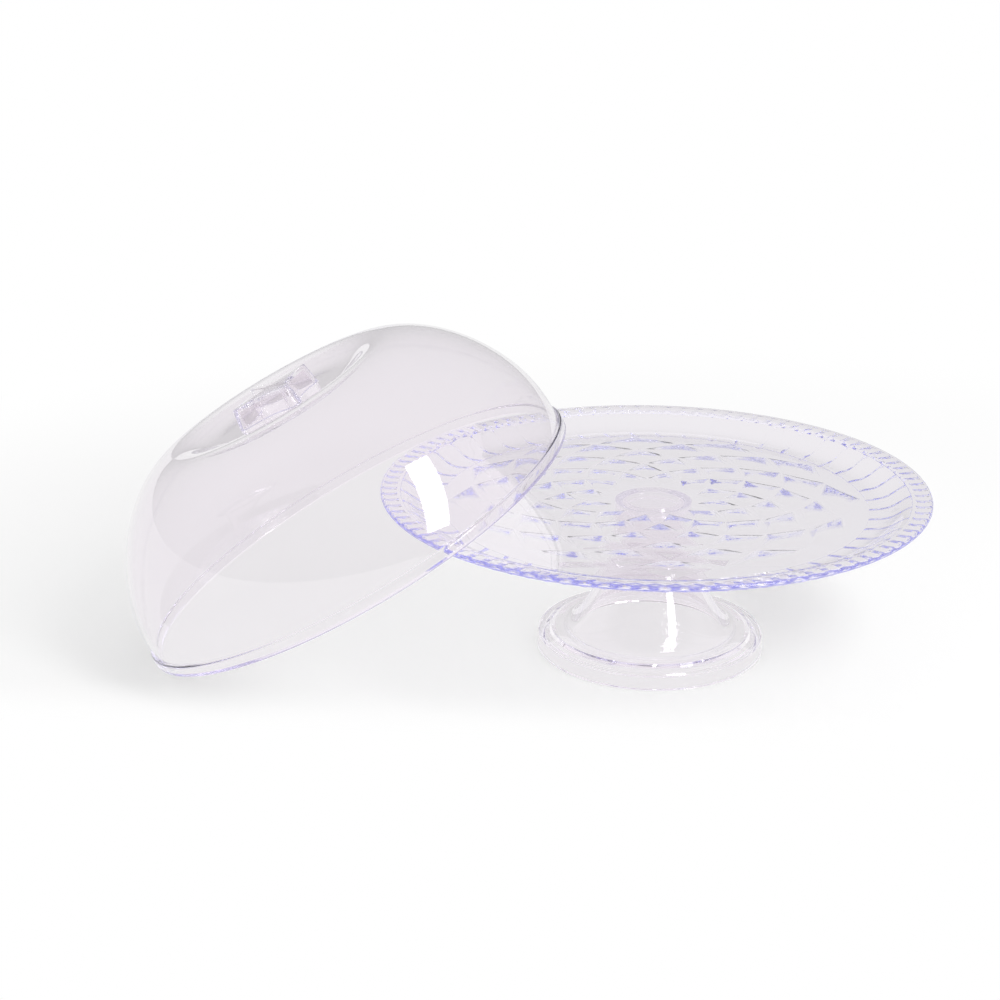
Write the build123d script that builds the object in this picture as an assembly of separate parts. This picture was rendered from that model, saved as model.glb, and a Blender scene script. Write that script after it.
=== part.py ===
from build123d import *
import os
from math import atan2, cos, degrees, radians, sin, sqrt, tan

# A footed cake stand of clear plastic and its domed lid. The lid stands on the table beside the
# stand and leans on the edge of the plate. Sizes are in millimetres and degrees.
# The origin is the centre of the plate's flat top, +Z is up along the stand's axis, and the lid
# leans towards -X.

# Stand
SEAT_HEIGHT = 86.7
PLATE_RADIUS = 150.0
PLATE_THICKNESS = 3.0
EDGE_ROUND = 1.5

# Section of the plate's brim, as radius and height of the control points of its S-curve
BRIM_START = (121.0, 0.0)
BRIM_PULL_LOW = (131.5, 0.0)
BRIM_PULL_HIGH = (135.5, 8.3)
BRIM_END = (141.0, 8.5)
RIM_HEIGHT = 9.0

# Lattice of diamonds sunk into the underside, each a steep pyramid in a shallow one, that grow
# deeper from ring to ring
DIAMONDS_PER_RING = 12
DIAMOND_RINGS = 6
DIAMOND_TURN = -9.0
FIRST_DIAMOND_RADIUS = 36.85
DIAMOND_PITCH = 13.24
LAST_TIP_RADIUS = 114.5
DIAMOND_SIZE = 0.97
DIAMOND_CORE = 0.55
DIAMOND_RIM_DEPTH = 0.25
DIAMOND_DEPTH = 0.9
DIAMOND_DEEPENING = 0.12
RELIEF_ROOT = 0.8

# Sections across a radial rib are points as sideways angle and depth below the brim
# Flutes under the brim, parted by cusps
FLUTES = 48
FLUTE_TURN = 6.3
FLUTE_INNER_RADIUS = 117.0
FLUTE_SECTION = [(-3.5, -0.3), (-3.3, 0.3), (-1.2, 0.3), (0.0, 1.0), (1.2, 0.3), (3.3, 0.3), (3.5, -0.3)]
FLUTE_STATIONS = 7
FLUTE_OUTER_SHARE = 0.92
FLUTE_OUTER_DEPTH = 0.5

# Ring of beads near the edge, ridged along their middles and deepest at their inner ends; a station
# is a radius and a share of the depth
BEADS = 96
BEAD_TURN = 0.8
BEAD_SECTION = [(-1.78, -0.3), (-1.5, 0.4), (-0.6, 1.2), (0.0, 1.5), (0.6, 1.2), (1.5, 0.4), (1.78, -0.3)]
BEAD_STATIONS = [(141.2, 0.3), (141.8, 1.0), (147.6, 0.5), (148.4, 0.1)]

# Foot, with points of its section as radius and height above the table
FOOT_RADIUS = 63.3
FOOT_EDGE = 0.6
FOOT_BAND_HEIGHT = 9.4
FOOT_BAND_DRAFT = 0.5
FOOT_BAND_ROUND = 1.0
FOOT_STEP_RADIUS = 55.8
FOOT_STEP_HEIGHT = 12.2
FOOT_STEP_RISE = 0.6
FOOT_WALL = 2.6
FLARE_START = (50.5, 12.8)
FLARE_PULL_LOW = (45.5, 12.4)
FLARE_PULL_HIGH = (36.9, 14.7)
FLARE_END = (20.8, 60.0)
HOLLOW_START = (46.5, 9.6)
HOLLOW_PULL_LOW = (42.5, 9.4)
HOLLOW_PULL_HIGH = (35.0, 13.3)
HOLLOW_END = (18.0, 58.0)
NECK_RADIUS = 21.0
NECK_BORE_RADIUS = 17.0
NECK_BORE_LENGTH = 8.0
SPIGOT_LENGTH = 4.0
SPIGOT_WALL = 2.4
SPIGOT_GAP = 0.1

# Lid
RIM_RADIUS = 131.0
RIM_ROUND = 0.8
RIM_CHAMFER = 1.2
FLANGE_HEIGHT = 6.4
FLANGE_SLOPE = 1.6
WALL_RADIUS = 129.0
WALL = 2.0
BELLY_RADIUS = 131.4
BELLY_HEIGHT = 50.0
SHOULDER_RADIUS = 92.4
CREST_RADIUS = 64.6
CREST_HEIGHT = 92.6
WELL_RADIUS = 36.0
WELL_HEIGHT = 86.0

# Knob
KNOB_CORNER_RADIUS = 26.0
KNOB_SIDE_RADIUS = 15.5
KNOB_CORNER_ROUND = 5.0
KNOB_HEIGHT = 12.0
KNOB_TAPER = 9.0
KNOB_EDGE_ROUND = 1.0
KNOB_WALL = 2.6
KNOB_TURN = 34.0

# Where the lid leans
LEAN = 28.75
LEAN_HEADING = 183.27
RIM_CENTRE_DISTANCE = 163.2

TABLE = -SEAT_HEIGHT
UNDERSIDE = -PLATE_THICKNESS
EDGE_CENTRE_RADIUS = PLATE_RADIUS - EDGE_ROUND


def turned(*lines):
    """The solid that a closed outline in radius and height makes when it turns about the axis."""
    return revolve(Plane.XZ * make_face(Curve() + list(lines)), Axis.Z)


def polar(radius, angle, height):
    """A point at a radius, an angle in degrees and a height."""
    return Vector(radius * cos(radians(angle)), radius * sin(radians(angle)), height)


def flat_polygon(*points):
    """A flat face through the points."""
    return Face(Wire.make_polygon(points, close=True))


def brim_curve(lower):
    """The S-curve of the brim in the plate's section, from the seat outwards, lowered by a thickness."""
    points = [BRIM_START, BRIM_PULL_LOW, BRIM_PULL_HIGH, BRIM_END]
    return Bezier([(radius, height - lower) for radius, height in points])


def plate_blank():
    """The plate without its relief: flat seat, S-shaped brim, round edge and the spigot for the foot."""
    brim_end_height = BRIM_END[1]
    seat = Line((0, 0), BRIM_START)
    band = Line(BRIM_END, (EDGE_CENTRE_RADIUS, RIM_HEIGHT))
    edge = ThreePointArc(
        (EDGE_CENTRE_RADIUS, RIM_HEIGHT),
        (PLATE_RADIUS, RIM_HEIGHT - EDGE_ROUND),
        (EDGE_CENTRE_RADIUS, RIM_HEIGHT - PLATE_THICKNESS),
    )
    band_below = Line(
        (EDGE_CENTRE_RADIUS, RIM_HEIGHT - PLATE_THICKNESS),
        (BRIM_END[0], brim_end_height - PLATE_THICKNESS),
    )
    spigot_radius = NECK_BORE_RADIUS - SPIGOT_GAP
    below = Polyline(
        (BRIM_START[0], UNDERSIDE),
        (spigot_radius, UNDERSIDE),
        (spigot_radius, UNDERSIDE - SPIGOT_LENGTH),
        (spigot_radius - SPIGOT_WALL, UNDERSIDE - SPIGOT_LENGTH),
        (spigot_radius - SPIGOT_WALL, UNDERSIDE),
        (0, UNDERSIDE),
        (0, 0),
    )
    return turned(seat, brim_curve(0), band, edge, band_below, brim_curve(PLATE_THICKNESS), below)


def diamond_middle(ring, index):
    """Radius and angle of a diamond's deepest point; every other ring is set half a step round."""
    radius = FIRST_DIAMOND_RADIUS + ring * DIAMOND_PITCH
    angle = DIAMOND_TURN + (index + ring % 2 / 2) * 360 / DIAMONDS_PER_RING
    return radius, angle


def diamond_corners(ring, index, size, height):
    """Inner tip, left corner, outer tip and right corner of one diamond, drawn in to a size, at a height."""
    radius, angle = diamond_middle(ring, index)
    half_width = 180 / DIAMONDS_PER_RING
    outer_tip = min(radius + DIAMOND_PITCH, LAST_TIP_RADIUS)
    middle = polar(radius, angle, height)
    corners = [
        polar(radius - DIAMOND_PITCH, angle, height),
        polar(radius, angle + half_width, height),
        polar(outer_tip, angle, height),
        polar(radius, angle - half_width, height),
    ]
    return [middle + (corner - middle) * size for corner in corners]


def diamond(ring, index):
    """What one diamond takes out of the underside: a steep pyramid on a shallow one."""
    depth = DIAMOND_DEPTH + DIAMOND_DEEPENING * ring
    apex = polar(*diamond_middle(ring, index), UNDERSIDE + depth)
    below = diamond_corners(ring, index, DIAMOND_SIZE, UNDERSIDE - RELIEF_ROOT)
    brink = diamond_corners(ring, index, DIAMOND_SIZE, UNDERSIDE)
    core = diamond_corners(ring, index, DIAMOND_SIZE * DIAMOND_CORE, UNDERSIDE + DIAMOND_RIM_DEPTH)
    faces = [flat_polygon(*below)]
    for corner in range(4):
        after = (corner + 1) % 4
        faces.append(flat_polygon(below[corner], below[after], brink[after], brink[corner]))
        faces.append(flat_polygon(brink[corner], brink[after], core[after], core[corner]))
        faces.append(flat_polygon(core[corner], core[after], apex))
    return Solid(Shell(faces))


def flute_places():
    """Radius, height and depth factor of the stations along a cusp, from its inner end outwards."""
    curve = brim_curve(PLATE_THICKNESS)
    places = [(FLUTE_INNER_RADIUS, UNDERSIDE, 1.0)]
    for station in range(FLUTE_STATIONS):
        share = station / (FLUTE_STATIONS - 1)
        point = curve @ (share * FLUTE_OUTER_SHARE)
        places.append((point.X, point.Y, 1 + (FLUTE_OUTER_DEPTH - 1) * share))
    return places


def radial_ribs(stations, section, count, turn):
    """A ring of ribs under the brim, each one section led through its stations, with a root in the brim."""
    outlines = []
    for radius, height, factor in stations:
        side = radius * tan(radians(section[-1][0]))
        outline = [
            Vector(radius, radius * tan(radians(angle)), height - depth * factor)
            for angle, depth in section
        ]
        outline.append(Vector(radius, side, height + RELIEF_ROOT))
        outline.append(Vector(radius, -side, height + RELIEF_ROOT))
        outlines.append(Wire.make_polygon(outline, close=True))
    rib = Solid.make_loft(outlines, ruled=True)
    return [Rotation(0, 0, turn + index * 360 / count) * rib for index in range(count)]


def flutes():
    """The cusps between the flutes."""
    return radial_ribs(flute_places(), FLUTE_SECTION, FLUTES, FLUTE_TURN)


def beads():
    """The ring of beads, side by side."""
    slope = (RIM_HEIGHT - BRIM_END[1]) / (EDGE_CENTRE_RADIUS - BRIM_END[0])
    stations = []
    for radius, factor in BEAD_STATIONS:
        underside = BRIM_END[1] - PLATE_THICKNESS + slope * (radius - BRIM_END[0])
        stations.append((radius, underside, factor))
    return radial_ribs(stations, BEAD_SECTION, BEADS, BEAD_TURN)


def make_plate():
    """The plate: a plain smooth top, with diamonds, flutes and beads moulded underneath."""
    diamonds = [diamond(ring, index) for ring in range(DIAMOND_RINGS) for index in range(DIAMONDS_PER_RING)]
    return plate_blank() - diamonds + flutes() + beads()


def make_foot():
    """The hollow foot: a neck that flares out to a stepped, banded base."""
    neck_top = SEAT_HEIGHT - PLATE_THICKNESS
    band_top = FOOT_RADIUS - FOOT_BAND_DRAFT
    ledge = FOOT_BAND_HEIGHT + FOOT_STEP_RISE
    outside = Polyline(
        (FOOT_RADIUS - FOOT_EDGE, 0),
        (FOOT_RADIUS, FOOT_EDGE),
        (band_top, FOOT_BAND_HEIGHT - FOOT_BAND_ROUND),
        (band_top - FOOT_BAND_ROUND, FOOT_BAND_HEIGHT),
        (FOOT_STEP_RADIUS + 2 * FOOT_STEP_RISE, ledge),
        (FOOT_STEP_RADIUS, FOOT_STEP_HEIGHT),
        FLARE_START,
    )
    flare = Bezier(FLARE_START, FLARE_PULL_LOW, FLARE_PULL_HIGH, FLARE_END)
    neck = Bezier(
        FLARE_END,
        (NECK_RADIUS, (FLARE_END[1] + neck_top) / 2),
        (NECK_RADIUS, neck_top),
    )
    bore_end = (NECK_BORE_RADIUS, neck_top - NECK_BORE_LENGTH)
    bore = Polyline((NECK_RADIUS, neck_top), (NECK_BORE_RADIUS, neck_top), bore_end)
    throat = Bezier(bore_end, (NECK_BORE_RADIUS, (HOLLOW_END[1] + bore_end[1]) / 2), HOLLOW_END)
    hollow = Bezier(HOLLOW_END, HOLLOW_PULL_HIGH, HOLLOW_PULL_LOW, HOLLOW_START)
    inside_band = FOOT_RADIUS - FOOT_WALL - FOOT_EDGE
    below = Polyline(
        HOLLOW_START,
        (FOOT_STEP_RADIUS - FOOT_WALL, FOOT_STEP_HEIGHT - FOOT_WALL),
        (inside_band - FOOT_BAND_ROUND, FOOT_BAND_HEIGHT - FOOT_WALL),
        (inside_band, 0),
        (FOOT_RADIUS - FOOT_EDGE, 0),
    )
    return Pos(0, 0, TABLE) * turned(outside, flare, neck, bore, throat, hollow, below)


def wall_face(inset):
    """Side, shoulder, crest and sunk crown of the lid, set in from the outer face."""
    side_start = (WALL_RADIUS - inset, FLANGE_HEIGHT)
    crest = (CREST_RADIUS, CREST_HEIGHT - inset)
    well_edge = (WELL_RADIUS, WELL_HEIGHT - inset)
    ease = (CREST_RADIUS - WELL_RADIUS) / 2
    return [
        Bezier(
            side_start,
            (BELLY_RADIUS - inset, BELLY_HEIGHT),
            (SHOULDER_RADIUS - inset, CREST_HEIGHT - inset),
            crest,
        ),
        Bezier(crest, (CREST_RADIUS - ease, crest[1]), (WELL_RADIUS + ease, well_edge[1]), well_edge),
        Line(well_edge, (0, WELL_HEIGHT - inset)),
    ]


def make_lid():
    """The lid in its own frame: the rim's underside on the XY plane and the axis on Z."""
    bore = WALL_RADIUS - WALL
    inner_edge = Polyline((bore, FLANGE_HEIGHT), (bore, RIM_CHAMFER), (bore + RIM_CHAMFER, 0))
    underside = Line((bore + RIM_CHAMFER, 0), (RIM_RADIUS - RIM_ROUND, 0))
    outer_edge = RadiusArc((RIM_RADIUS - RIM_ROUND, 0), (RIM_RADIUS, RIM_ROUND), -RIM_ROUND)
    slope_start = (RIM_RADIUS, FLANGE_HEIGHT - FLANGE_SLOPE)
    flange = Line((RIM_RADIUS, RIM_ROUND), slope_start)
    slope = Bezier(slope_start, (RIM_RADIUS, FLANGE_HEIGHT), (WALL_RADIUS, FLANGE_HEIGHT))
    crown = Line((0, WELL_HEIGHT - WALL), (0, WELL_HEIGHT))
    rim = [inner_edge, underside, outer_edge, flange, slope]
    return turned(*rim, *wall_face(0), crown, *wall_face(WALL))


def knob_outline():
    """Plan of the knob: a square with round corners and hollowed sides, whose arcs run into each other."""
    corner_centre = KNOB_CORNER_RADIUS - KNOB_CORNER_ROUND
    side_gap = KNOB_SIDE_RADIUS - KNOB_CORNER_ROUND
    side_centre = (corner_centre**2 - side_gap**2) / (sqrt(2) * corner_centre - 2 * side_gap)
    towards_side = polar(side_centre, 45, 0) - Vector(corner_centre, 0, 0)
    blend = degrees(atan2(towards_side.Y, towards_side.X))
    arcs = []
    for quarter in range(0, 360, 90):
        here = polar(corner_centre, quarter, 0)
        after = polar(corner_centre, quarter + 90, 0)
        start = here + polar(KNOB_CORNER_ROUND, quarter - blend, 0)
        leave = here + polar(KNOB_CORNER_ROUND, quarter + blend, 0)
        arrive = after + polar(KNOB_CORNER_ROUND, quarter + 90 - blend, 0)
        arcs.append(ThreePointArc(start, polar(KNOB_CORNER_RADIUS, quarter, 0), leave))
        arcs.append(ThreePointArc(leave, polar(KNOB_SIDE_RADIUS, quarter + 45, 0), arrive))
    return make_face(Curve() + arcs)


def make_knob():
    """The hollow knob, in the lid's own frame, with its lower edge on the sunk crown."""
    outline = knob_outline()
    body = extrude(outline, KNOB_HEIGHT, taper=KNOB_TAPER)
    body = fillet(body.faces().sort_by(Axis.Z)[-1].edges(), KNOB_EDGE_ROUND)
    hollow = extrude(offset(outline, -KNOB_WALL), KNOB_HEIGHT - KNOB_WALL, taper=KNOB_TAPER)
    return Pos(0, 0, WELL_HEIGHT) * Rotation(0, 0, KNOB_TURN) * (body - hollow)


def leaning_place():
    """Where the lid's own frame goes: its lowest rim edge on the table, its rim on the plate's edge."""
    lean = radians(LEAN)
    rim_centre_height = (RIM_RADIUS - RIM_ROUND) * sin(lean) + RIM_ROUND * (1 - cos(lean))
    centre = polar(RIM_CENTRE_DISTANCE, LEAN_HEADING, TABLE + rim_centre_height)
    return Pos(centre) * Rotation(0, 0, LEAN_HEADING) * Rotation(0, LEAN, 0)


def main():
    os.makedirs("parts", exist_ok=True)
    place = leaning_place()
    pieces = {
        "plate": make_plate(),
        "foot": make_foot(),
        "dome": place * make_lid(),
        "knob": place * make_knob(),
    }
    for name, piece in pieces.items():
        export_step(piece, f"parts/{name}.step")
        box = piece.bounding_box()
        print(name, f"{piece.volume / 1000:.1f} cm3, z {box.min.Z:.2f} to {box.max.Z:.2f}")


main()
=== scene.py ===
from math import atan2, cos, degrees, hypot, pi, radians, sin, sqrt, tan

import bmesh
import bpy
from mathutils import Matrix, Vector


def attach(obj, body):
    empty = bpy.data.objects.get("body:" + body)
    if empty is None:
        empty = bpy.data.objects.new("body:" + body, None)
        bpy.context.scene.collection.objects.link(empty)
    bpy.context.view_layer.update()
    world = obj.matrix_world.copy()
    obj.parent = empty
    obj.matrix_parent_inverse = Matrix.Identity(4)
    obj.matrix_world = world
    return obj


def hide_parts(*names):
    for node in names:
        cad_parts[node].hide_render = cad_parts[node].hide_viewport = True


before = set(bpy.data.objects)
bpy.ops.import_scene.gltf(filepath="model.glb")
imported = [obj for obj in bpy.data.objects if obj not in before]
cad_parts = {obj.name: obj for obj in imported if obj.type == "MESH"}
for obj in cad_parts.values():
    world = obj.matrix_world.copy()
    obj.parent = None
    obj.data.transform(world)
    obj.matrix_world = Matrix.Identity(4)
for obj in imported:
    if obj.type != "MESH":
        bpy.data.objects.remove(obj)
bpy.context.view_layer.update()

# Lengths of the shapes are in millimetres and angles in degrees; the studio's lengths are in metres.
TO_METRES = 0.001
TABLE_Z = -0.0867
TABLE_MM = TABLE_Z * 1000
SHARP_ANGLE = 25.0
ROUND = 288
CORNER_STEPS = 4

# Plate: the top's rings, the brim's S-curve and the rounded edge
PLATE_THICKNESS = 3.0
UNDERSIDE = -PLATE_THICKNESS
SEAT_RINGS = [20.0, 60.0, 100.0]
BRIM = [(121.0, 0.0), (131.5, 0.0), (135.5, 8.3), (141.0, 8.5)]
BRIM_STEPS = 16
BRIM_HEIGHT_STEPS = 64
RIM_HEIGHT = 9.0
EDGE_ROUND = 1.5
EDGE_CENTRE = 150.0 - EDGE_ROUND
EDGE_STEPS = 12
WALL_STEP = 0.06

# Sunk diamonds: a steep slope round a shallow core
DIAMONDS = 12
DIAMOND_RINGS = 6
DIAMOND_TURN = -9.0
FIRST_DIAMOND = 36.85
DIAMOND_PITCH = 13.24
LAST_TIP = 114.5
DIAMOND_BRINK = 0.97
DIAMOND_CORE = 0.65
DIAMOND_RIM_DEPTH = 0.9
DIAMOND_DEPTH = 1.3
DIAMOND_DEEPENING = 0.05

# Flutes and beads: half sections are angle from the middle and share of the depth
FLUTES = 48
FLUTE_TURN = 6.7
FLUTE_DRIFT = 1.05
FLUTE_DRIFT_END = 124.0
FLUTE_INNER = 117.0
FLUTE_OUTER_SHARE = 0.92
FLUTE_DEPTH = 1.0
FLUTE_END_DEPTH = 0.5
FLUTE_SECTION = [(0.0, 1.0), (0.4, 0.78), (0.8, 0.54), (1.2, 0.3), (2.2, 0.3), (3.4, 0.3)]
FLUTE_ROWS = 14
FLUTE_CURVE_STEPS = 200
BEADS = 96
BEAD_TURN = 0.8
BEAD_DEPTH = 1.1
BEAD_SECTION = [(0.0, -0.5), (1.6, 0.5)]
BEAD_STATIONS = [(148.4, 0.5), (148.0, 1.0), (144.9, 1.0), (141.8, 1.0), (141.2, 0.3)]

# Foot: radius and height over the table
NECK_RADIUS = 21.0
JOINT_GAP = 0.03
NECK_END = (20.8, 60.0)
NECK_STEPS = 8
FLARE = [(36.9, 14.7), (45.5, 12.4), (50.5, 12.8)]
FLARE_STEPS = 28
FOOT_BAND = [(55.8, 12.2), (57.0, 10.0), (61.8, 9.4), (62.8, 8.4), (63.3, 0.6), (62.7, 0.0)]
FOOT_HOLLOW = [(60.1, 0.0), (59.1, 6.8), (53.2, 9.6), (46.5, 9.6)]
HOLLOW_FLARE = [(42.5, 9.4), (35.0, 13.3)]
HOLLOW_END = (18.0, 58.0)
BORE_RADIUS = 17.0
BORE_EASE = 8.0
BORE_STEPS = 6
NECK_HOLE_RADIUS = 14.5
NECK_HOLE_DEPTH = 4.0

# Lid, in its own frame with its rim at zero height
RIM_RADIUS = 131.0
RIM_ROUND = 0.8
RIM_CHAMFER = 1.2
FLANGE_HEIGHT = 6.4
FLANGE_SLOPE = 1.6
FLANGE_STEPS = 5
WALL_RADIUS = 129.0
WALL = 2.0
WALL_STEPS = 40
BELLY_RADIUS = 131.4
BELLY_HEIGHT = 50.0
SHOULDER_RADIUS = 92.4
CREST_RADIUS = 64.6
CREST_HEIGHT = 92.6
WELL_RADIUS = 36.0
WELL_HEIGHT = 86.0
WELL_STEPS = 16
KNOB_CORNER = 26.0
KNOB_SIDE = 15.5
KNOB_ROUND = 5.0
KNOB_HEIGHT = 12.0
KNOB_TAPER = 9.0
KNOB_EDGE = 1.0
KNOB_WALL = 2.6
KNOB_TURN = 34.0
KNOB_STEPS = 12
LEAN = 28.75
LEAN_HEADING = 183.27
RIM_CENTRE_DISTANCE = 163.2

# Plastic: tint of the depth, colour of the surface and density
VIOLET = ((0.0, 0.0, 0.96), (0.995, 0.968, 0.998), 3.0)
PALE = ((0.3, 0.2, 0.75), (0.982, 0.958, 0.982), 1.6)
PLASTIC_IOR = 1.49
CAST_CHANGE = 0.01
CAST_SCALE = 30.0
CAST_DETAIL = 2.0
POLISH = 0.01
WORN = 0.04
WEAR_START = 0.35
WEAR_END = 0.75
WEAR_SCALE = 90.0
WEAR_DETAIL = 4.0
FLOW_DEPTH = 0.00001
FLOW_SCALE = 60.0
FLOW_DETAIL = 1.0
BOUNCES = 96

# Camera
SENSOR_WIDTH = 36.0
LENS = 65.81
CLIP_START = 0.01
CLIP_END = 100.0
CAMERA_PLACE = (0.0, -0.9523, 0.33814)
CAMERA_TILT = 70.332
CAMERA_HEADING = 5.091

# Floor: the shares of plain white that the camera sees over the lit floor; lower shares left of the lid and
# in a spot right of the foot paint the shade darker there
WHITE = (1.0, 1.0, 1.0, 1.0)
FLOOR_GAP = 0.0002
FLOOR_HALF = 14.0
FLOOR_COLOR = (0.97, 0.97, 0.97)
NEAR_GLOW = 0.7
LEFT_GLOW = 0.47
LEFT_START = -0.17
LEFT_END = -0.27
FRONT_START = -0.07
FRONT_END = -0.125
RIGHT_GLOW = 0.1
RIGHT_CENTRE = (0.079, 0.075)
RIGHT_STRETCH = 2.0
RIGHT_START = 0.01
RIGHT_END = 0.068
FADE_START = 0.36
FADE_END = 0.7
CLEAR_SHARE = 0.9
CLEAR_LIGHT = 0.9

# Light
DARK_SIDE = -0.5
LIGHT_SIDE = 0.1
DARK_SKY = 0.35
WORLD_LIGHT = 0.78
WORLD_GLOSS = 0.32
LAMP_TARGET = Vector((-0.11, -0.11, 0.0393))
LAMP_AZIMUTH = 128.0
LAMP_ELEVATION = 35.9
LAMP_DISTANCE = 1.1
LAMP_WIDTH = 0.26
LAMP_HEIGHT = 0.98
LAMP_RADIANCE = 8.5


def bezier(*controls, steps):
    """Points of a Bezier curve through plain control points, without its first point."""
    out = []
    for k in range(1, steps + 1):
        t = k / steps
        row = [tuple(c) for c in controls]
        while len(row) > 1:
            row = [tuple(a + (b - a) * t for a, b in zip(p, q)) for p, q in zip(row, row[1:])]
        out.append(row[0])
    return out


BRIM_CURVE = bezier(*BRIM, steps=BRIM_HEIGHT_STEPS)


class Rings:
    """Builds a closed skin from rings of points round the axis, each joined to the one before.

    flat lists the faces that are shaded flat, and hollow those that bound a closed hollow and face into it.
    """

    def __init__(self):
        self.points = []
        self.faces = []
        self.flat = []
        self.hollow = []

    def ring(self, angles, radii, heights):
        """Adds a ring; radii and heights are lists as long as angles."""
        start = len(self.points)
        for a, r, z in zip(angles, radii, heights):
            self.points.append((r * cos(radians(a)), r * sin(radians(a)), z))
        return list(range(start, len(self.points))), list(angles)

    def even(self, radius, height, turn=0.0):
        """A plain circle of evenly spaced points."""
        angles = [turn + 360 * k / ROUND for k in range(ROUND)]
        return self.ring(angles, [radius] * ROUND, [height] * ROUND)

    def join(self, first, second):
        """Fills the band between two rings whose angles both grow all the way round."""
        a, a_deg = first
        b, b_deg = second
        i = j = 0
        while i < len(a) or j < len(b):
            next_a = a_deg[i + 1] if i + 1 < len(a) else a_deg[0] + 360
            next_b = b_deg[j + 1] if j + 1 < len(b) else b_deg[0] + 360
            if len(a) == len(b) and i == j:
                self.faces.append((a[i], a[(i + 1) % len(a)], b[(j + 1) % len(b)], b[j]))
                i += 1
                j += 1
            elif j >= len(b) or (i < len(a) and next_a <= next_b):
                self.faces.append((a[i % len(a)], a[(i + 1) % len(a)], b[j % len(b)]))
                i += 1
            else:
                self.faces.append((a[i % len(a)], b[(j + 1) % len(b)], b[j % len(b)]))
                j += 1
        return second

    def cap(self, ring, height):
        """Closes a ring with a fan to a point on the axis."""
        self.points.append((0.0, 0.0, height))
        centre = len(self.points) - 1
        ids = ring[0]
        for k, v in enumerate(ids):
            self.faces.append((v, ids[(k + 1) % len(ids)], centre))


def brim_underside(radius):
    """Height of the plate's plain underside at a radius, below the seat, the S-curve and the rim."""
    last = BRIM[0]
    if radius <= last[0]:
        return last[1] - PLATE_THICKNESS
    for point in BRIM_CURVE + [(EDGE_CENTRE, RIM_HEIGHT)]:
        if radius <= point[0]:
            rise = (point[1] - last[1]) * (radius - last[0]) / (point[0] - last[0])
            return last[1] + rise - PLATE_THICKNESS
        last = point
    return RIM_HEIGHT - PLATE_THICKNESS


def relief_ring(rings, radius, factor, section, count, turn, depth):
    """One ring through all the flutes or beads, made of a half section and its mirror image."""
    angles, heights = [], []
    whole = [(-place, share) for place, share in section[:0:-1]] + section
    for index in range(count):
        for place, share in whole:
            angles.append(turn + index * 360 / count + place)
            heights.append(brim_underside(radius) - depth * share * factor)
    return rings.ring(angles, [radius] * len(angles), heights)


def bead_ring(rings, radius, factor):
    """One ring through all the beads, whose depth is scaled by a factor."""
    return relief_ring(rings, radius, factor, BEAD_SECTION, BEADS, BEAD_TURN, BEAD_DEPTH)


def flute_ring(rings, radius, factor):
    """One ring through all the flutes, with scaled depth; their inner ends drift round a little."""
    share = min(1.0, max(0.0, (radius - FLUTE_INNER) / (FLUTE_DRIFT_END - FLUTE_INNER)))
    turn = FLUTE_TURN - FLUTE_DRIFT * (1 - share) ** 2
    return relief_ring(rings, radius, factor, FLUTE_SECTION, FLUTES, turn, FLUTE_DEPTH)


def sink_diamond(rings, loop, middle, deepest):
    """Fills a diamond's four corners with a level brink, a steep slope and a shallow pyramid as its core."""
    full = [Vector(rings.points[k]) for k in loop]
    for size, depth in ((DIAMOND_BRINK, 0.0), (DIAMOND_CORE, DIAMOND_RIM_DEPTH)):
        start = len(rings.points)
        rise = Vector((0.0, 0.0, depth))
        rings.points += [tuple(middle + (point - middle) * size + rise) for point in full]
        after = list(range(start, start + 4))
        for k in range(4):
            rings.flat.append(len(rings.faces))
            rings.faces.append((loop[k], loop[(k + 1) % 4], after[(k + 1) % 4], after[k]))
        loop = after
    rings.points.append(tuple(middle + Vector((0.0, 0.0, deepest))))
    for k in range(4):
        rings.flat.append(len(rings.faces))
        rings.faces.append((loop[k], loop[(k + 1) % 4], len(rings.points) - 1))


def diamond_zone(rings):
    """The sunk diamonds, edge to edge; returns the zone's inner and outer zigzag rings."""
    step = 360 / DIAMONDS
    corners = {}

    def corner(radius, angle):
        """The shared corner of neighbouring diamonds, made once."""
        key = (round(radius, 3), round(angle % 360, 3))
        if key not in corners:
            rings.points.append((radius * cos(radians(angle)), radius * sin(radians(angle)), UNDERSIDE))
            corners[key] = len(rings.points) - 1
        return corners[key]

    inner, outer = [], []
    for ring in range(DIAMOND_RINGS):
        r = FIRST_DIAMOND + ring * DIAMOND_PITCH
        tip = min(r + DIAMOND_PITCH, LAST_TIP)
        for index in range(DIAMONDS):
            a = DIAMOND_TURN + (index + ring % 2 / 2) * step
            places = [(r - DIAMOND_PITCH, a), (r, a + step / 2), (tip, a), (r, a - step / 2)]
            loop = [corner(*place) for place in places]
            if ring == 0:
                inner += [(a % 360, loop[0]), ((a + step / 2) % 360, loop[1])]
            if ring == DIAMOND_RINGS - 1:
                outer += [(a % 360, loop[2]), ((a + step / 2) % 360, loop[1])]
            middle = Vector((r * cos(radians(a)), r * sin(radians(a)), UNDERSIDE))
            sink_diamond(rings, loop, middle, DIAMOND_DEPTH + DIAMOND_DEEPENING * ring)
    zigzags = []
    for found in (inner, outer):
        found.sort()
        zigzags.append(([k for _, k in found], [a for a, _ in found]))
    return zigzags


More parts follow.
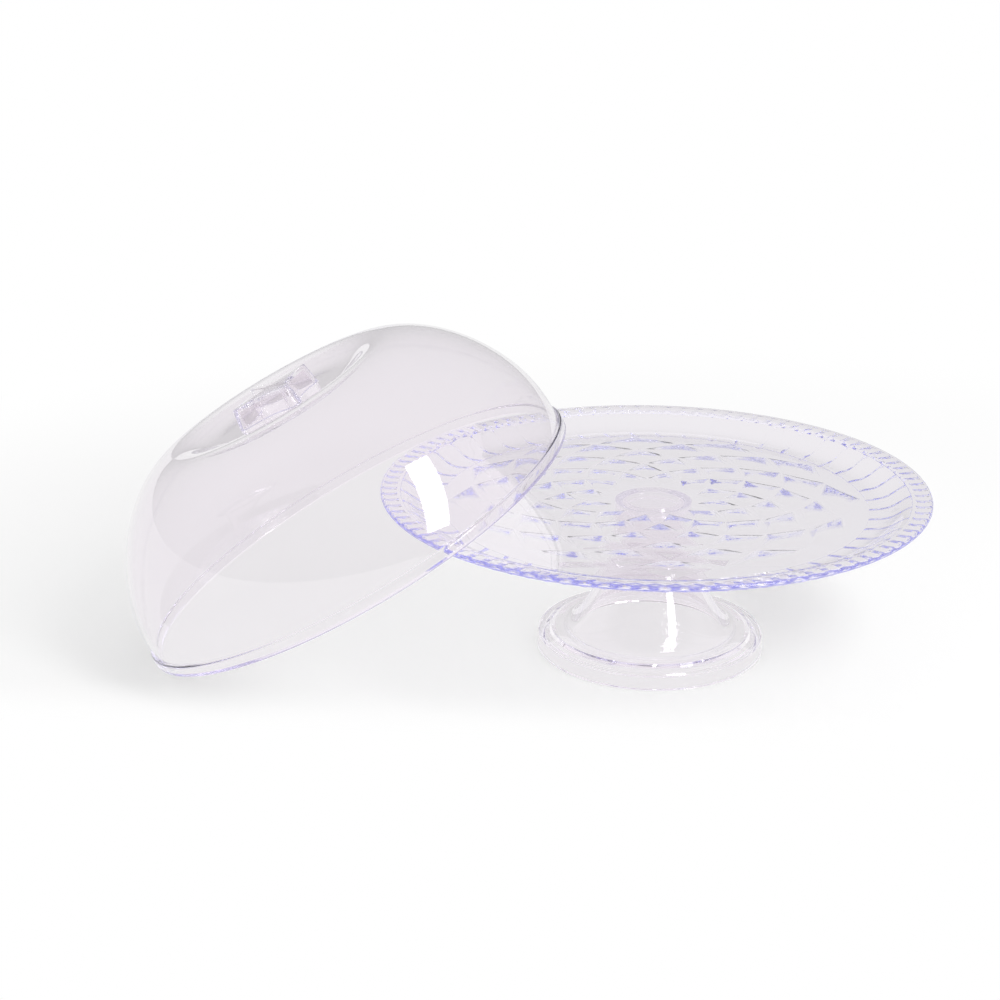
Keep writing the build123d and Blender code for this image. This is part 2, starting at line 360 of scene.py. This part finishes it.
def plate_mesh():
    """The skin of the plate, from the middle of its top round the edge to the middle of its underside."""
    rings = Rings()
    # Top and rounded edge
    last = rings.even(SEAT_RINGS[0], 0.0)
    rings.cap(last, 0.0)
    for r, z in [(r, 0.0) for r in SEAT_RINGS[1:]] + [BRIM[0]] + bezier(*BRIM, steps=BRIM_STEPS):
        last = rings.join(last, rings.even(r, z))
    for k in range(EDGE_STEPS + 1):
        a = radians(90 - 180 * k / EDGE_STEPS)
        r = EDGE_CENTRE + EDGE_ROUND * cos(a)
        last = rings.join(last, rings.even(r, RIM_HEIGHT - EDGE_ROUND + EDGE_ROUND * sin(a)))
    # Beads, from the edge in
    first_bead_face = len(rings.faces)
    beads = [(BEAD_STATIONS[0][0] + WALL_STEP, 0.0)] + BEAD_STATIONS
    beads.append((BEAD_STATIONS[-1][0] - WALL_STEP, 0.0))
    for r, factor in beads:
        last = rings.join(last, bead_ring(rings, r, factor))
    rings.flat += range(first_bead_face, len(rings.faces))
    # Flutes, from their outer end in
    curve = [BRIM[0]] + bezier(*BRIM, steps=FLUTE_CURVE_STEPS)
    flutes = []
    for k in range(FLUTE_ROWS + 1):
        share = 1 - k / FLUTE_ROWS
        r = curve[round(FLUTE_CURVE_STEPS * FLUTE_OUTER_SHARE * share)][0]
        flutes.append((r, 1 + (FLUTE_END_DEPTH - 1) * share))
    flutes.insert(0, (flutes[0][0] + WALL_STEP, 0.0))
    flutes += [(FLUTE_INNER, 1.0), (FLUTE_INNER - WALL_STEP, 0.0)]
    for r, factor in flutes:
        last = rings.join(last, flute_ring(rings, r, factor))
    # Diamonds, and the plain disc over the neck
    inner, outer = diamond_zone(rings)
    rings.join(last, outer)
    last = rings.join(inner, rings.even(NECK_RADIUS, UNDERSIDE))
    rings.cap(last, UNDERSIDE)
    return rings


def foot_mesh():
    """The skin of the hollow foot, a hair below the plate: down its outside, then up its inside."""
    neck_top = UNDERSIDE - JOINT_GAP - TABLE_MM
    neck_middle = (NECK_RADIUS, (NECK_END[1] + neck_top) / 2)
    bore_end = (BORE_RADIUS, neck_top - BORE_EASE)
    bore_middle = (BORE_RADIUS, (HOLLOW_END[1] + bore_end[1]) / 2)
    hole_end = neck_top - NECK_HOLE_DEPTH
    outline = [(NECK_RADIUS, neck_top)]
    outline += bezier((NECK_RADIUS, neck_top), neck_middle, NECK_END, steps=NECK_STEPS)
    outline += bezier(NECK_END, *FLARE, steps=FLARE_STEPS)
    outline += FOOT_BAND + FOOT_HOLLOW
    outline += bezier(FOOT_HOLLOW[-1], *HOLLOW_FLARE, HOLLOW_END, steps=FLARE_STEPS)
    outline += bezier(HOLLOW_END, bore_middle, bore_end, steps=BORE_STEPS)
    outline += [(BORE_RADIUS, hole_end), (NECK_HOLE_RADIUS, hole_end), (NECK_HOLE_RADIUS, neck_top)]
    rings = Rings()
    made = [rings.even(r, z + TABLE_MM) for r, z in outline]
    for first, second in zip(made, made[1:] + made[:1]):
        rings.join(first, second)
    return rings


def knob_ring(rings, inset, height):
    """A ring along the knob's outline, drawn in by an inset: round corners and hollowed sides."""
    corner = KNOB_CORNER - KNOB_ROUND
    gap = KNOB_SIDE - KNOB_ROUND
    side = (corner**2 - gap**2) / (sqrt(2) * corner - 2 * gap)
    side_x = side * cos(radians(45))
    side_y = side * sin(radians(45))
    blend = degrees(atan2(side_y, side_x - corner))
    angles, radii = [], []
    for quarter in range(4):
        for k in range(2 * KNOB_STEPS):
            if k < KNOB_STEPS:
                a = radians(-blend + 2 * blend * k / KNOB_STEPS)
                x = corner + (KNOB_ROUND - inset) * cos(a)
                y = (KNOB_ROUND - inset) * sin(a)
            else:
                a = radians(180 + blend + (90 - 2 * blend) * (k - KNOB_STEPS) / KNOB_STEPS)
                x = side_x + (side - KNOB_SIDE + inset) * cos(a)
                y = side_y + (side - KNOB_SIDE + inset) * sin(a)
            angles.append(KNOB_TURN + 90 * quarter + degrees(atan2(y, x)))
            radii.append(hypot(x, y))
    return rings.ring(angles, radii, [height] * len(angles))


def wall_points(inset):
    """Radius and height along the lid's wall, from the flange over the crest to the well."""
    start = (WALL_RADIUS - inset, FLANGE_HEIGHT)
    belly = (BELLY_RADIUS - inset, BELLY_HEIGHT)
    shoulder = (SHOULDER_RADIUS - inset, CREST_HEIGHT - inset)
    crest = (CREST_RADIUS, CREST_HEIGHT - inset)
    well = (WELL_RADIUS, WELL_HEIGHT - inset)
    ease = (CREST_RADIUS - WELL_RADIUS) / 2
    slope_start = (CREST_RADIUS - ease, crest[1])
    slope_end = (WELL_RADIUS + ease, well[1])
    side = bezier(start, belly, shoulder, crest, steps=WALL_STEPS)
    return side + bezier(crest, slope_start, slope_end, well, steps=WELL_STEPS)


def lid_mesh():
    """The skin of the lid with its knob, in the lid's own frame."""
    bore = WALL_RADIUS - WALL
    under_well = WELL_HEIGHT - WALL
    # Rim and flange, then the outer wall to the knob
    profile = [(bore, RIM_CHAMFER), (bore + RIM_CHAMFER, 0.0), (RIM_RADIUS - RIM_ROUND, 0.0)]
    for k in range(1, CORNER_STEPS + 1):
        a = radians(-90 + 90 * k / CORNER_STEPS)
        profile.append((RIM_RADIUS - RIM_ROUND + RIM_ROUND * cos(a), RIM_ROUND + RIM_ROUND * sin(a)))
    slope = (RIM_RADIUS, FLANGE_HEIGHT - FLANGE_SLOPE)
    profile.append(slope)
    profile += bezier(slope, (RIM_RADIUS, FLANGE_HEIGHT), (WALL_RADIUS, FLANGE_HEIGHT), steps=FLANGE_STEPS)
    profile += wall_points(0.0)
    top = len(profile) - 1
    # Inner wall, from the middle of the well back to the rim
    profile += [(WELL_RADIUS / 2, under_well)] + wall_points(WALL)[::-1] + [(bore, FLANGE_HEIGHT)]
    rings = Rings()
    start_angle = knob_ring(Rings(), 0.0, 0.0)[1][0]
    made = [rings.even(r, z, start_angle) for r, z in profile]
    for k, (first, second) in enumerate(zip(made, made[1:] + made[:1])):
        if k != top:
            rings.join(first, second)
    rings.cap(made[top + 1], under_well)
    # Outside of the knob
    slant = tan(radians(KNOB_TAPER))
    last = made[top]
    for z in (0.0, KNOB_HEIGHT / 2, KNOB_HEIGHT - KNOB_EDGE):
        last = rings.join(last, knob_ring(rings, z * slant, WELL_HEIGHT + z))
    for k in range(1, CORNER_STEPS + 1):
        a = radians(90 * k / CORNER_STEPS)
        inset = (KNOB_HEIGHT - KNOB_EDGE) * slant + KNOB_EDGE * (1 - cos(a))
        z = KNOB_HEIGHT - KNOB_EDGE * (1 - sin(a))
        last = rings.join(last, knob_ring(rings, inset, WELL_HEIGHT + z))
    rings.cap(last, WELL_HEIGHT + KNOB_HEIGHT)
    # Closed hollow inside the knob
    first_hollow_face = len(rings.faces)
    depth = KNOB_HEIGHT - KNOB_WALL
    low = knob_ring(rings, KNOB_WALL, WELL_HEIGHT)
    rings.cap(low, WELL_HEIGHT)
    high = rings.join(low, knob_ring(rings, KNOB_WALL + depth * slant, WELL_HEIGHT + depth))
    rings.cap(high, WELL_HEIGHT + depth)
    rings.hollow += range(first_hollow_face, len(rings.faces))
    return rings


def leaning(points):
    """Moves points of the lid's own frame to where it leans."""
    lean = radians(LEAN)
    heading = radians(LEAN_HEADING)
    height = (RIM_RADIUS - RIM_ROUND) * sin(lean) + RIM_ROUND * (1 - cos(lean))
    across = RIM_CENTRE_DISTANCE * cos(heading)
    along = RIM_CENTRE_DISTANCE * sin(heading)
    centre = Vector((across, along, TABLE_MM + height))
    turn = Matrix.Rotation(heading, 3, "Z") @ Matrix.Rotation(lean, 3, "Y")
    return [turn @ Vector(p) + centre for p in points]


def smooth_piece(name, skin, points, body, slot, material, *nodes):
    """A piece made of a skin, smooth but for its sharp edges and flat faces."""
    mesh = bpy.data.meshes.new(name)
    mesh.from_pydata([[c * TO_METRES for c in p] for p in points], [], skin.faces)
    work = bmesh.new()
    work.from_mesh(mesh)
    bmesh.ops.recalc_face_normals(work, faces=work.faces)
    work.faces.ensure_lookup_table()
    for index in skin.hollow:
        work.faces[index].normal_flip()
    work.to_mesh(mesh)
    work.free()
    smooth = [True] * len(mesh.polygons)
    for index in skin.flat:
        smooth[index] = False
    mesh.polygons.foreach_set("use_smooth", smooth)
    mesh.set_sharp_from_angle(angle=radians(SHARP_ANGLE))
    mesh.materials.append(material)
    piece = bpy.data.objects.new(name, mesh)
    bpy.context.scene.collection.objects.link(piece)
    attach(piece, body)
    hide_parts(*nodes)


def noise(nodes, links, place, scale, detail):
    """A noise texture that rides with the piece."""
    texture = nodes.new("ShaderNodeTexNoise")
    texture.inputs["Scale"].default_value = scale
    texture.inputs["Detail"].default_value = detail
    links.new(place.outputs["Object"], texture.inputs["Vector"])
    return texture.outputs["Fac"]


def clear_plastic(name, tint, surface, density):
    """Clear moulded plastic: it bends light at its faces and takes up light along its depth."""
    material = bpy.data.materials.new(name)
    material.use_nodes = True
    nodes = material.node_tree.nodes
    links = material.node_tree.links
    shader = nodes["Principled BSDF"]
    shader.inputs["IOR"].default_value = PLASTIC_IOR
    shader.inputs["Transmission Weight"].default_value = 1.0
    place = nodes.new("ShaderNodeTexCoord")
    cast = nodes.new("ShaderNodeMix")
    cast.data_type = "RGBA"
    cast.inputs["A"].default_value = (*surface, 1.0)
    cast.inputs["B"].default_value = (*(c - CAST_CHANGE for c in surface), 1.0)
    links.new(noise(nodes, links, place, CAST_SCALE, CAST_DETAIL), cast.inputs["Factor"])
    links.new(cast.outputs["Result"], shader.inputs["Base Color"])
    rough = nodes.new("ShaderNodeMapRange")
    rough.inputs["From Min"].default_value = WEAR_START
    rough.inputs["From Max"].default_value = WEAR_END
    rough.inputs["To Min"].default_value = POLISH
    rough.inputs["To Max"].default_value = WORN
    links.new(noise(nodes, links, place, WEAR_SCALE, WEAR_DETAIL), rough.inputs["Value"])
    links.new(rough.outputs["Result"], shader.inputs["Roughness"])
    bump = nodes.new("ShaderNodeBump")
    bump.inputs["Strength"].default_value = 1.0
    bump.inputs["Distance"].default_value = FLOW_DEPTH
    links.new(noise(nodes, links, place, FLOW_SCALE, FLOW_DETAIL), bump.inputs["Height"])
    links.new(bump.outputs["Normal"], shader.inputs["Normal"])
    absorb = nodes.new("ShaderNodeVolumeAbsorption")
    absorb.inputs["Color"].default_value = (*tint, 1.0)
    absorb.inputs["Density"].default_value = density
    links.new(absorb.outputs["Volume"], nodes["Material Output"].inputs["Volume"])
    return material


def math_node(nodes, links, operation, first, second):
    """A maths node fed by two sockets, or by a socket and a number."""
    node = nodes.new("ShaderNodeMath")
    node.operation = operation
    links.new(first, node.inputs[0])
    if isinstance(second, float):
        node.inputs[1].default_value = second
    else:
        links.new(second, node.inputs[1])
    return node.outputs[0]


def length_of(nodes, links, vector):
    """The length of a vector."""
    node = nodes.new("ShaderNodeVectorMath")
    node.operation = "LENGTH"
    links.new(vector, node.inputs[0])
    return node.outputs["Value"]


def ranged(nodes, links, value, low, high, at_low, at_high):
    """A value carried smoothly from one range to another."""
    node = nodes.new("ShaderNodeMapRange")
    node.interpolation_type = "SMOOTHSTEP"
    node.inputs["From Min"].default_value = low
    node.inputs["From Max"].default_value = high
    node.inputs["To Min"].default_value = at_low
    node.inputs["To Max"].default_value = at_high
    links.new(value, node.inputs["Value"])
    return node.outputs[0]


def blended(nodes, links, factor, first, second):
    """A number between two others, each a socket or a number."""
    node = nodes.new("ShaderNodeMix")
    links.new(factor, node.inputs["Factor"])
    for name, value in (("A", first), ("B", second)):
        if isinstance(value, float):
            node.inputs[name].default_value = value
        else:
            links.new(value, node.inputs[name])
    return node.outputs[0]


def mixed(nodes, links, factor, first, second):
    """A mix of two shaders."""
    node = nodes.new("ShaderNodeMixShader")
    for value, socket in zip((factor, first.outputs[0], second.outputs[0]), node.inputs):
        links.new(value, socket)
    return node


def add_camera():
    """The photograph's viewpoint."""
    data = bpy.data.cameras.new("Camera")
    data.sensor_width = SENSOR_WIDTH
    data.lens = LENS
    data.clip_start = CLIP_START
    data.clip_end = CLIP_END
    camera = bpy.data.objects.new("Camera", data)
    camera.location = CAMERA_PLACE
    camera.rotation_euler = (radians(CAMERA_TILT), 0.0, radians(CAMERA_HEADING))
    bpy.context.scene.collection.objects.link(camera)
    bpy.context.scene.camera = camera


def floor_share(nodes, links):
    """The share of plain white on the floor as the camera sees it, by place."""
    place = nodes.new("ShaderNodeNewGeometry").outputs["Position"]
    parts = nodes.new("ShaderNodeSeparateXYZ")
    links.new(place, parts.inputs[0])
    # Less of it left of the lid and in a spot right of the foot: painted shade, set by place, that lets the
    # floor's rendered shadow show darker there than elsewhere
    left = ranged(nodes, links, parts.outputs["X"], LEFT_END, LEFT_START, LEFT_GLOW, NEAR_GLOW)
    # The spot is an ellipse of painted shade beside the foot, where the white share drops to RIGHT_GLOW
    shade_spot = nodes.new("ShaderNodeMapping")
    shade_spot.inputs["Location"].default_value = (-RIGHT_CENTRE[0], -RIGHT_CENTRE[1] / RIGHT_STRETCH, 0.0)
    shade_spot.inputs["Scale"].default_value = (1.0, 1 / RIGHT_STRETCH, 0.0)
    links.new(place, shade_spot.inputs["Vector"])
    spot_distance = length_of(nodes, links, shade_spot.outputs["Vector"])
    beyond = ranged(nodes, links, spot_distance, RIGHT_START, RIGHT_END, 0.0, 1.0)
    near = blended(nodes, links, beyond, RIGHT_GLOW, left)
    # All of it far off and to the front
    far = ranged(nodes, links, length_of(nodes, links, place), FADE_START, FADE_END, 0.0, 1.0)
    front = ranged(nodes, links, parts.outputs["Y"], FRONT_END, FRONT_START, 1.0, 0.0)
    return blended(nodes, links, math_node(nodes, links, "MAXIMUM", far, front), near, 1.0)


def add_floor():
    """A wide white floor that keeps the shadow near the object and is plain white far off."""
    mesh = bpy.data.meshes.new("Floor")
    corners = [(-1, -1), (1, -1), (1, 1), (-1, 1)]
    points = [(x * FLOOR_HALF, y * FLOOR_HALF, TABLE_Z - FLOOR_GAP) for x, y in corners]
    mesh.from_pydata(points, [], [(0, 1, 2, 3)])
    floor = bpy.data.objects.new("Floor", mesh)
    bpy.context.scene.collection.objects.link(floor)
    material = bpy.data.materials.new("floor_white")
    material.use_nodes = True
    nodes = material.node_tree.nodes
    links = material.node_tree.links
    nodes.clear()
    out = nodes.new("ShaderNodeOutputMaterial")
    lit = nodes.new("ShaderNodeBsdfDiffuse")
    lit.inputs["Color"].default_value = (*FLOOR_COLOR, 1.0)
    glow = nodes.new("ShaderNodeEmission")
    glow.inputs["Color"].default_value = WHITE
    path = nodes.new("ShaderNodeLightPath")
    camera = path.outputs["Is Camera Ray"]
    clear = path.outputs["Is Transmission Ray"]
    seen = math_node(nodes, links, "MAXIMUM", clear, path.outputs["Is Glossy Ray"])
    seen = math_node(nodes, links, "MAXIMUM", camera, seen)
    seen_share = blended(nodes, links, camera, CLEAR_SHARE, floor_share(nodes, links))
    share = math_node(nodes, links, "MULTIPLY", seen_share, seen)
    links.new(blended(nodes, links, camera, CLEAR_LIGHT, 1.0), glow.inputs["Strength"])
    links.new(mixed(nodes, links, share, lit, glow).outputs[0], out.inputs["Surface"])
    mesh.materials.append(material)


def add_world():
    """Even soft light from all round; it is white behind the object, and dimmer in its gloss."""
    world = bpy.data.worlds.new("Studio")
    bpy.context.scene.world = world
    world.use_nodes = True
    nodes = world.node_tree.nodes
    links = world.node_tree.links
    back = nodes["Background"]
    white = nodes.new("ShaderNodeBackground")
    dim = nodes.new("ShaderNodeBackground")
    for node, strength in ((back, WORLD_LIGHT), (white, 1.0), (dim, WORLD_GLOSS)):
        node.inputs["Color"].default_value = WHITE
        node.inputs["Strength"].default_value = strength
    path = nodes.new("ShaderNodeLightPath")
    camera = path.outputs["Is Camera Ray"]
    # Through the plastic, the sky on the camera's side is darker
    direction = nodes.new("ShaderNodeTexCoord")
    parts = nodes.new("ShaderNodeSeparateXYZ")
    links.new(direction.outputs["Generated"], parts.inputs[0])
    sky = ranged(nodes, links, parts.outputs["Y"], DARK_SIDE, LIGHT_SIDE, DARK_SKY, 1.0)
    links.new(blended(nodes, links, camera, sky, 1.0), white.inputs["Strength"])
    # A diffuse depth of zero is a ray that has met nothing matt; every other ray gets the plain light
    direct = math_node(nodes, links, "LESS_THAN", path.outputs["Diffuse Depth"], 0.5)
    mirrored = math_node(nodes, links, "MULTIPLY", direct, path.outputs["Is Glossy Ray"])
    clear = math_node(nodes, links, "MAXIMUM", camera, path.outputs["Is Transmission Ray"])
    seen = math_node(nodes, links, "MULTIPLY", direct, clear)
    lighting = mixed(nodes, links, mirrored, back, dim)
    whole = mixed(nodes, links, seen, lighting, white)
    links.new(whole.outputs[0], nodes["World Output"].inputs["Surface"])


def add_lamp():
    """A flat soft box on the camera's side, to the right; azimuth 0 is +Y and 90 is +X."""
    light = bpy.data.lights.new("SoftBox", "AREA")
    light.shape = "RECTANGLE"
    light.size = LAMP_WIDTH
    light.size_y = LAMP_HEIGHT
    light.energy = LAMP_RADIANCE * pi * LAMP_WIDTH * LAMP_HEIGHT
    lamp = bpy.data.objects.new("SoftBox", light)
    a, e = radians(LAMP_AZIMUTH), radians(LAMP_ELEVATION)
    out = Vector((sin(a) * cos(e), cos(a) * cos(e), sin(e)))
    lamp.location = LAMP_TARGET + out * LAMP_DISTANCE
    lamp.rotation_euler = (-out).to_track_quat("-Z", "Y").to_euler()
    bpy.context.scene.collection.objects.link(lamp)


add_camera()
add_floor()
add_world()
add_lamp()
cycles = bpy.context.scene.cycles
cycles.max_bounces = BOUNCES
cycles.transmission_bounces = BOUNCES
cycles.glossy_bounces = BOUNCES
violet = clear_plastic("clear_violet_plastic", *VIOLET)
pale = clear_plastic("clear_pale_plastic", *PALE)
plate = plate_mesh()
smooth_piece("Plate", plate, plate.points, "stand", "stand_clear", violet, "plate")
foot = foot_mesh()
smooth_piece("Foot", foot, foot.points, "stand", "stand_clear", pale, "foot")
lid = lid_mesh()
smooth_piece("Lid", lid, leaning(lid.points), "dome", "lid_clear", pale, "dome", "knob")

bpy.context.scene.view_settings.view_transform = "Standard"
